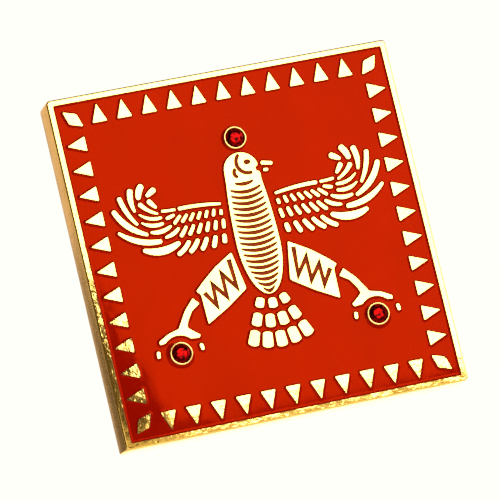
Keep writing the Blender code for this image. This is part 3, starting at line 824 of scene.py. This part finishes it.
def plate_shell(land):
    """The struck plate as one closed surface: back, walls, rim, recess floor and every island."""
    shell = Shell()
    # The edge slot takes gold_edge, painted shade along every wall and rounded edge in the recess
    face, wall, back, edge = range(4)
    back_edge = edge_profile(BACK_EDGE)
    counterbores = [circle((x, POST_Z), COUNTERBORE_RADIUS + BACK_EDGE, ROUND_SIDES) for x in POSTS.values()]
    shell.region(plate_outline(BACK_EDGE), counterbores, 0, back)
    for outline in counterbores:
        rings = [shell.ring(grown(outline, inward - BACK_EDGE), down) for inward, down in back_edge]
        shell.strips(rings, back)
        bottom = shell.ring(grown(outline, -BACK_EDGE), COUNTERBORE_DEPTH)
        shell.strip(rings[0], bottom, back)
        shell.face(bottom, back, True)
    low = [shell.ring(plate_outline(inward), down) for inward, down in back_edge]
    shell.strips(low, back)
    face_edge = edge_profile(OUTER_EDGE, 5)
    high = [shell.ring(plate_outline(inward), THICKNESS - down) for inward, down in face_edge]
    shell.strip(low[0], high[0], wall)
    shell.strips(high, face)
    field = field_outline()
    shell.region(plate_outline(OUTER_EDGE), [grown(field, METAL_EDGE)], THICKNESS, face)
    rise(shell, field, METAL_EDGE, 1, edge)
    sockets = [circle(place, CUP_RADIUS + ENAMEL_GAP, ROUND_SIDES) for place in STONES.values()]
    shell.region(field, [outline for outline, _ in land] + sockets, FLOOR_HEIGHT, face)
    for socket in sockets:
        bottom = shell.ring(socket, CUP_BOTTOM - ENAMEL_GAP)
        shell.strip(shell.ring(socket, FLOOR_HEIGHT), bottom, face)
        shell.face(bottom, face, True)
    for outline, cells in land:
        top = rise(shell, outline, METAL_EDGE, -1, edge)
        for cell in cells:
            rise(shell, cell, CELL_EDGE, 1, edge)
            shell.region(cell, [], FLOOR_HEIGHT, face)
        if cells:
            holes = [grown(cell, CELL_EDGE) for cell in cells]
            shell.region(grown(outline, -METAL_EDGE), holes, THICKNESS, face)
        else:
            shell.face(top, face, True)
    return shell


def rise(shell, outline, radius, sign, slot):
    """A wall from the recess floor up to a rounded edge. Returns the ring at the top."""
    rings = [shell.ring(outline, FLOOR_HEIGHT)]
    for inward, down in edge_profile(radius):
        rings.append(shell.ring(grown(outline, sign * inward) if inward else outline, THICKNESS - down))
    shell.strips(rings, slot)
    return rings[-1]


def enamel_surface(points, groups):
    """The points on the enamel's surface. groups holds the (outlines, reach, lift) of each climb."""
    climb = np.zeros(len(points))
    for outlines, reach, lift in groups:
        distance = clearance(points, outlines)
        distance[distance < WETTED_EDGE * 1.6] = 0
        climb = np.maximum(climb, lift * np.clip(1 - distance / reach, 0, 1) ** 2)
    surface = []
    for (x, z), lift in zip(points, climb):
        wave = noise.noise(Vector((x, z, 4.0)) / WAVE_SIZE) * WAVE_HEIGHT
        surface.append((x, z, ENAMEL_LEVEL + lift + wave))
    return surface


def enamel_shell(outer, holes, groups, rings, spacing, grid=0.0):
    """Enamel between outlines, with a surface that climbs each group of outlines."""
    outlines = [outer] + holes
    inside = []
    for distance in rings:
        ring_points = resampled(grown(outer, -distance), spacing)
        for hole in holes:
            ring_points += resampled(grown(hole, distance), spacing)
        room = clearance(ring_points, outlines)
        inside += [point for point, free in zip(ring_points, room) if free > distance * 0.9]
    if grid:
        half = SIDE / 2 - RIM
        places = [-half + grid * (k + 0.5) for k in range(int(2 * half / grid))]
        knots = [(x, z) for x in places for z in places]
        room = clearance(knots, outlines)
        inside += [point for point, free in zip(knots, room) if free > rings[-1] + grid * 0.4]
    lip = [grown(outer, WETTED_EDGE)] + [grown(hole, -WETTED_EDGE) for hole in holes]
    points, triangles = filled(lip[0], lip[1:], inside)
    shell = Shell()
    numbers = shell.loop(enamel_surface(points, groups))
    for triangle in triangles:
        shell.face([numbers[k] for k in triangle])
    edges = iter(enamel_surface([point for loop in lip for point in loop], groups))
    foot = [grown(outer, -ENAMEL_GAP)] + [grown(hole, ENAMEL_GAP) for hole in holes]
    for outline in foot:
        first = shell.loop([next(edges) for _ in outline])
        shell.strip(first, shell.ring(outline, ENAMEL_UNDERSIDE))
    shell.region(foot[0], foot[1:], ENAMEL_UNDERSIDE)
    return shell


CELLS = cell_outlines()
LAND = islands(CELLS)
# The last of these, gold_edge, is painted shade for the walls and rounded edges
struck = [METAL["gold_" + name] for name in ("face", "wall", "back", "edge")]
install(plate_shell(LAND), "struck_plate", struck, FACE, "badge", "gold_plate", "base_plate")

cup_outlines = [circle(place, CUP_RADIUS, ROUND_SIDES) for place in STONES.values()]
land_outlines = [outline for outline, _ in LAND]
field = enamel_shell(
    field_outline(),
    land_outlines + cup_outlines,
    [(land_outlines, *LAND_CLIMB), ([field_outline()], *RIM_CLIMB), (cup_outlines, *CUP_CLIMB)],
    FIELD_RINGS,
    FIELD_SPACING,
    FIELD_GRID,
)
install(field, "enamel_ground", [ENAMEL], FACE, "badge", "red_enamel", "enamel_field")
# Every cell takes the darker enamel, painted shade for its narrow recess
for node, outline in CELLS.items():
    cell = enamel_shell(outline, [], [([outline], *CELL_CLIMB)], CELL_RINGS, CELL_SPACING)
    install(cell, f"enamel_{node}", [CELL_ENAMEL_PAINTED_SHADE], FACE, "badge", "red_enamel", node)


# ---- The stones


def cup_shell():
    """A round bezel with a rolled lip."""
    inner = CUP_RADIUS - CUP_WALL
    corners = [(inner, CUP_BOTTOM + 0.85), (inner, CUP_LIP), (CUP_RADIUS, CUP_LIP), (CUP_RADIUS, CUP_BOTTOM)]
    wall = rounded(corners, 0.085, 5, closed=False)
    return lathe([(0, CUP_BOTTOM + 0.3)] + wall + [(0, CUP_BOTTOM)], 64)


def stone_shell():
    """A round brilliant: table, star, bezel and girdle facets above, and a pointed pavilion below."""
    shell = Shell()
    girdle = CUP_LIP - 0.1
    belt = CUP_LIP - 0.16
    culet = CUP_BOTTOM + 0.62
    half_step = math.cos(math.pi / 8)
    crown_slope = (STONE_TOP - girdle) / (STONE_RADIUS - TABLE_RADIUS)
    star_height = STONE_TOP - (STAR_RADIUS * half_step - TABLE_RADIUS) * crown_slope
    keel_height = culet + KEEL_RADIUS * half_step * (belt - culet) / STONE_RADIUS

    def ring(radius, height, count, turn=0.0):
        return shell.ring([polar((0, 0), radius, 360 * (k + turn) / count) for k in range(count)], height)

    table = ring(TABLE_RADIUS, STONE_TOP, 8)
    star = ring(STAR_RADIUS, star_height, 8, 0.5)
    upper = ring(STONE_RADIUS, girdle, 16)
    lower = ring(STONE_RADIUS, belt, 16)
    keel = ring(KEEL_RADIUS, keel_height, 8, 0.5)
    point = shell.ring([(0, 0)], culet)[0]
    shell.face(table, 0, True)
    shell.strip(upper, lower, 0, True)
    for k in range(8):
        after = (k + 1) % 8
        wide = 2 * k
        shell.face((table[k], star[k], table[after]), 0, True)
        shell.face((table[k], star[k - 1], upper[wide], star[k]), 0, True)
        shell.face((point, keel[k - 1], lower[wide], keel[k]), 0, True)
        for start in (wide, wide + 1):
            end = (start + 1) % 16
            shell.face((star[k], upper[start], upper[end]), 0, True)
            shell.face((keel[k], lower[start], lower[end]), 0, True)
    return shell


for name, (x, z) in STONES.items():
    seat = FACE @ Matrix.Translation((x, z, 0))
    turn = Matrix.Rotation(math.radians(STONE_TURN * len(name)), 4, "Z")
    bezel = [METAL["gold_cup"]]
    install(cup_shell(), f"bezel_{name}", bezel, seat, "badge", "gold_cup", f"stone_cup_{name}", 40)
    install(stone_shell(), f"cut_stone_{name}", [STONE], seat @ turn, "badge", "red_stone", f"stone_{name}")


# ---- The posts


def post_shell():
    """A nail-headed post with a cone point and a notch for the clutch's spring."""
    foot = -COUNTERBORE_DEPTH + ENAMEL_GAP
    head = foot + POST_FOOT_HEIGHT
    notch = POST_LENGTH - NOTCH_DROP
    waist = POST_RADIUS - NOTCH_DEPTH
    corners = [(0, POST_LENGTH), (0.14, POST_LENGTH), (POST_RADIUS, POST_LENGTH - POST_POINT)]
    corners += [(POST_RADIUS, notch), (waist, notch - 0.12), (waist, notch - 0.38)]
    corners += [(POST_RADIUS, notch - 0.5), (POST_RADIUS, head), (POST_FOOT_RADIUS, head)]
    corners += [(POST_FOOT_RADIUS, foot), (0, foot)]
    return lathe(rounded(corners, 0.07, 3, closed=False), 48)


def solder_shell(seed):
    """The uneven ring of solder in the counterbore, which climbs the post."""
    low = -COUNTERBORE_DEPTH + 2 * ENAMEL_GAP + POST_FOOT_HEIGHT
    inside = POST_RADIUS + 0.01
    outside = COUNTERBORE_RADIUS - 0.05
    shares = [k / 8 for k in range(9)]
    slope = [(between(inside, outside, t), between(-0.03, low + 0.08, t**0.4)) for t in shares]
    profile = [(inside, low)] + slope + [(outside, low)]

    def shape(angle, radius, height):
        swell = noise.noise(Vector((math.cos(angle), math.sin(angle), seed)) * 1.7)
        reach = (radius - inside) / (outside - inside)
        if height <= low + 0.001:
            return radius, height
        return radius - 0.05 * reach * abs(swell), height - 0.09 * reach * (1 - reach) * (1 + 2 * swell)

    return lathe(profile, 64, closed=True, shape=shape)


for name, x in POSTS.items():
    stand = Matrix.Translation((x, 0, POST_Z)) @ BACK
    steel = [METAL["steel"]]
    install(post_shell(), f"nail_post_{name}", steel, stand, "badge", "steel_post", f"post_{name}", 35)
    fillet = solder_shell(len(name))
    solder = [METAL["solder"]]
    install(fillet, f"solder_fillet_{name}", solder, stand, "badge", "solder", f"solder_ring_{name}", 50)


# ---- The clutches


def disc_shell():
    """The pressed disc, with a rolled edge, a lip over the case and a guide neck."""
    top = DISC_THICKNESS
    neck = 1.0
    seat = CASE_RADIUS + 0.48
    hook = CASE_RADIUS + 0.14
    lip = CASE_RADIUS + 0.7
    roll = DISC_RADIUS - 0.3
    corners = [(neck, top + 0.6), (neck, top), (seat, top), (seat, top + 0.32), (hook, top + 0.34)]
    corners += [(hook, top + 0.5), (lip, top + 0.5), (lip, top), (DISC_RADIUS - 0.45, top)]
    corners += [(roll, top + 0.4), (DISC_RADIUS, top + 0.4), (DISC_RADIUS, 0.25), (roll, 0)]
    corners += [(DISC_HOLE, 0), (DISC_HOLE, top + 0.6)]
    return lathe(rounded(corners, 0.12, 3), 96, closed=True)


def case_shell():
    """The cup that turns on the disc, with a window on each side for a wing."""
    inner = CASE_RADIUS - CASE_WALL
    low = DISC_THICKNESS + 0.04
    flange = CASE_RADIUS + 0.42
    ceiling = CASE_TOP - CASE_WALL
    crown = [(0.95, CASE_TOP), (CASE_RADIUS, CASE_TOP), (CASE_RADIUS, WINDOW_HIGH)]
    skirt = [(CASE_RADIUS, WINDOW_LOW), (CASE_RADIUS, low + 0.22), (flange, low + 0.22)]
    under = [(flange, low), (inner, low), (inner, WINDOW_LOW)]
    roof = [(inner, WINDOW_HIGH), (inner, ceiling), (CASE_HOLE, ceiling)]
    profile = []
    for corners, radius, steps in ((crown, 0.38, 5), (skirt, 0.08, 3), (under, 0.06, 2), (roof, 0.15, 3)):
        profile += rounded(corners, radius, steps, closed=False)
    profile.append((CASE_HOLE, CASE_TOP - 0.08))
    shell = Shell()
    loops = [shell.ring(circle((0, 0), radius, CASE_STEPS), height) for radius, height in profile]
    heights = [height for _, height in profile]
    pairs = zip(heights, heights[1:] + heights[:1])
    spans = [k for k, pair in enumerate(pairs) if set(pair) == {WINDOW_LOW, WINDOW_HIGH}]
    middles = (CASE_STEPS // 4, CASE_STEPS * 3 // 4)
    open_steps = [k for middle in middles for k in range(middle - WINDOW_STEPS, middle + WINDOW_STEPS)]
    count = len(loops)
    for k in range(count):
        first, second = loops[k], loops[(k + 1) % count]
        for step in range(CASE_STEPS):
            if k in spans and step in open_steps:
                continue
            after = (step + 1) % CASE_STEPS
            shell.face((first[step], first[after], second[after], second[step]))
    outer_span, inner_span = spans
    upper = (loops[outer_span], loops[(inner_span + 1) % count])
    lower = (loops[outer_span + 1], loops[inner_span])
    for step in open_steps:
        for outer_loop, inner_loop in (upper, lower):
            shell.face((outer_loop[step], outer_loop[step + 1], inner_loop[step + 1], inner_loop[step]))
    for middle in middles:
        for step in (middle - WINDOW_STEPS, middle + WINDOW_STEPS):
            shell.face((upper[0][step], lower[0][step], lower[1][step], upper[1][step]))
    return shell


def wing_shell():
    """A bent sheet lever: an arm in the case, and a ribbed ear outside for the finger."""
    shell = Shell()
    corners = [(-1.7, 0), (0.3, 0), (0.75, 0.25), (2.35, 2.5), (2.68, 2.9)]
    path = resampled(rounded(corners, 0.35, 5, closed=False), 0.09, closed=False)
    half_thick = 0.155
    arm = 1.18
    ear = 1.5
    ear_end = 2.75
    neck_start, neck_end = 0.5, 0.9
    rib_start, rib_end = 1.25, 2.3
    rib_count = 3
    rib_height = 0.045
    rib_reach = 0.75
    across = 14
    sheets = ([], [])
    for (x, z), (normal, _) in zip(path, normals(path)):
        if x < neck_start:
            half = arm
        elif x < neck_end:
            turn = math.pi * (x - neck_start) / (neck_end - neck_start)
            half = between(arm, ear, (1 - math.cos(turn)) / 2)
        else:
            reach = max(0.0, x - (ear_end - ear)) / ear
            half = ear * math.sqrt(max(0.02, 1 - reach**2.6))
        rib = 0.0
        if rib_start < x < rib_end:
            ripple = math.sin((x - rib_start) / (rib_end - rib_start) * rib_count * math.pi)
            rib = rib_height * max(0.0, ripple) ** 0.7
        for sheet, sign in zip(sheets, (half_thick, -half_thick)):
            row = []
            for k in range(across + 1):
                v = 2 * k / across - 1
                reach = sign + rib * max(0.0, 1 - (v / rib_reach) ** 6)
                row.append((x + normal[0] * reach, v * half, z + normal[1] * reach))
            sheet.append(shell.loop(row))
    for sheet in sheets:
        shell.strips(sheet, closed=False)
    for column in (0, across):
        shell.strips([[row[column] for row in sheet] for sheet in sheets], closed=False)
    for row in (0, -1):
        shell.strips([sheet[row] for sheet in sheets], closed=False)
    return shell


def spring_shell():
    """The wire spring: an open loop that grips the post, and two legs between the wings."""
    height = DISC_THICKNESS + 1.25
    grip = POST_RADIUS + SPRING_WIRE + 0.03
    leg = (2.3, 0.95)
    corners = [leg] + arc((0, 0), (grip, grip), 60, 300, 24) + [(leg[0], -leg[1])]
    path = rounded(corners, 0.12, 4, closed=False)
    shell = Shell()
    rings = []
    sides = 14
    for k, ((x, y), (normal, mitre)) in enumerate(zip(path, normals(path))):
        radius = SPRING_WIRE * (0.8 if k in (0, len(path) - 1) else 1)
        ring = []
        for side in range(sides):
            angle = 2 * math.pi * side / sides
            reach = radius * math.cos(angle) * mitre
            ring.append((x + normal[0] * reach, y + normal[1] * reach, height + radius * math.sin(angle)))
        rings.append(shell.loop(ring))
    shell.strips(rings)
    shell.face(rings[0], 0, True)
    shell.face(rings[-1], 0, True)
    return shell


for name, x in POSTS.items():
    stand = Matrix.Translation((x, CLOTH, POST_Z)) @ BACK
    brass = [METAL["brass"]]
    wire = [METAL["spring_steel"]]
    disc = (f"clutch_{name}", "brass_clutch", f"clutch_disc_{name}")
    case = (f"case_{name}", "brass_clutch", f"clutch_case_{name}")
    spring = (f"case_{name}", "spring_steel", f"clutch_spring_{name}")
    install(disc_shell(), f"pressed_disc_{name}", brass, stand, *disc, 40)
    install(case_shell(), f"pressed_case_{name}", brass, stand, *case, 40, 0.05)
    install(spring_shell(), f"wire_spring_{name}", wire, stand, *spring, 40)
    for place, angle in (("upper", -90), ("lower", 90)):
        pivot = polar((0, 0), WING_PIVOT_RADIUS, angle)
        swing = Matrix.Translation((*pivot, WING_PIVOT_HEIGHT)) @ Matrix.Rotation(math.radians(angle), 4, "Z")
        tag = f"{name}_{place}"
        lever = (f"wing_{tag}", "brass_clutch", f"clutch_wing_{tag}")
        install(wing_shell(), f"lever_{tag}", brass, stand @ swing, *lever, 40, 0.06)


# ---- Camera, stage and light


def camera():
    """The camera, below and to the left of the badge and rolled a little."""
    data = bpy.data.cameras.new("camera")
    data.lens = LENS
    data.clip_start = 0.02
    data.clip_end = 6
    made = bpy.data.objects.new("camera", data)
    bpy.context.scene.collection.objects.link(made)
    azimuth, elevation, roll = (math.radians(angle) for angle in CAMERA_ANGLES)
    level = math.cos(elevation)
    back = Vector((math.sin(azimuth) * level, -math.cos(azimuth) * level, math.sin(elevation)))
    made.location = Vector(CAMERA_AIM) * MM + back * CAMERA_DISTANCE * MM
    made.rotation_mode = "QUATERNION"
    made.rotation_quaternion = (-back).to_track_quat("-Z", "Y") @ Quaternion((0, 0, 1), -roll)
    bpy.context.scene.camera = made


def glow(name, colour, strength):
    """A plain shining material for the stage."""
    material = bpy.data.materials.new(name)
    material.use_nodes = True
    tree = material.node_tree
    tree.nodes.remove(tree.nodes["Principled BSDF"])
    shine = add_node(tree, "Emission", {"Color": colour, "Strength": strength})
    feed(tree.nodes["Material Output"], "Surface", shine.outputs[0])
    return material


def upright(name, low, high, colour, strength):
    """A glowing upright rectangle between two opposite corners."""
    shell = Shell()
    shell.face(shell.loop([low, (high[0], low[1], low[2]), high, (low[0], low[1], high[2])]))
    return shell.piece(name, [glow(name, colour, strength)])


def stage():
    """A pale floor and wall, a far ring for the horizon, and two cards for the metal to reflect."""
    shell = Shell()
    rings = [shell.ring(circle((0, 0), radius, 96), FLOOR_LEVEL) for radius in (400, 1000, HORIZON_RADIUS)]
    shell.face(rings[0])
    shell.strips(rings)
    material, shader, place = new_material("floor", Roughness=0.6)
    cloud = grain(place, (90, 90, 90), 3.0)
    feed(shader, "Base Color", blended(cloud, (0.82, 0.81, 0.76), (0.86, 0.85, 0.8)))
    feed(shader, "Emission Color", (1.0, 0.99, 0.92))
    feed(shader, "Emission Strength", 0.42)
    floor = shell.piece("floor", [material])
    backdrop = upright("backdrop", (-600, 450, FLOOR_LEVEL), (900, 450, 640), (1.0, 0.995, 0.925), 1.03)
    shell = Shell()
    low, high = (shell.ring(circle((0, 0), HORIZON_RADIUS, 96), height) for height in (FLOOR_LEVEL, 900))
    shell.strip(low, high)
    horizon = shell.piece("horizon", [glow("horizon", (1.0, 0.99, 0.93), 0.95)])
    for ray in ("visible_glossy", "visible_diffuse", "visible_shadow", "visible_transmission"):
        setattr(horizon, ray, False)
    low = upright("card_low", (-100, -480, -200), (600, -480, 43.5), (1.0, 0.85, 0.55), 0.7)
    left = upright("card_left", (-460, 430, -140), (-60, 430, 74), (1.0, 0.92, 0.76), 0.19)
    for card in (low, left):
        card.visible_camera = False


def softbox(name, centre, size, radiance, tilt=0.0, colour=(1, 1, 1), aim=(0, 0, 0)):
    """A rectangular light turned towards a point, with its radiance in scene units."""
    data = bpy.data.lights.new(name, "AREA")
    data.shape = "RECTANGLE"
    data.size, data.size_y = (length * MM for length in size)
    data.energy = radiance * math.pi * size[0] * size[1] * MM * MM
    data.color = colour
    light = bpy.data.objects.new(name, data)
    light.location = Vector(centre) * MM
    light.rotation_mode = "QUATERNION"
    towards = Vector(aim) - Vector(centre)
    light.rotation_quaternion = towards.to_track_quat("-Z", "Y") @ Quaternion((0, 0, 1), math.radians(tilt))
    light.visible_camera = False
    bpy.context.scene.collection.objects.link(light)


def lights():
    """A big softbox whose mirror image ends near the lower left corner, and weaker ones round it."""
    softbox("key", (240, -500, 128), (300, 330), 6.0, 17, aim=(240, 0, 128))
    softbox("front", (-25, -465, -35), (170, 150), 1.5, aim=(-25, 0, -35))
    softbox("side_right", (600, -120, 60), (260, 300), 3.0)
    softbox("fill_left", (-520, -260, 330), (300, 300), 0.15)
    softbox("fill_top", (60, -330, 560), (420, 260), 0.4)
    softbox("fill_back", (-260, 420, 420), (320, 320), 1.6)
    softbox("fill_back_right", (420, 360, 180), (260, 320), 1.4)
    softbox("low_back", (81, 300, -70), (300, 90), 3.0)
    world = bpy.data.worlds.new("studio")
    world.use_nodes = True
    sky = world.node_tree.nodes["Background"]
    feed(sky, "Color", (1.0, 0.74, 0.4))
    feed(sky, "Strength", 0.12)
    bpy.context.scene.world = world


camera()
stage()
lights()
bpy.context.scene.view_settings.view_transform = "Standard"
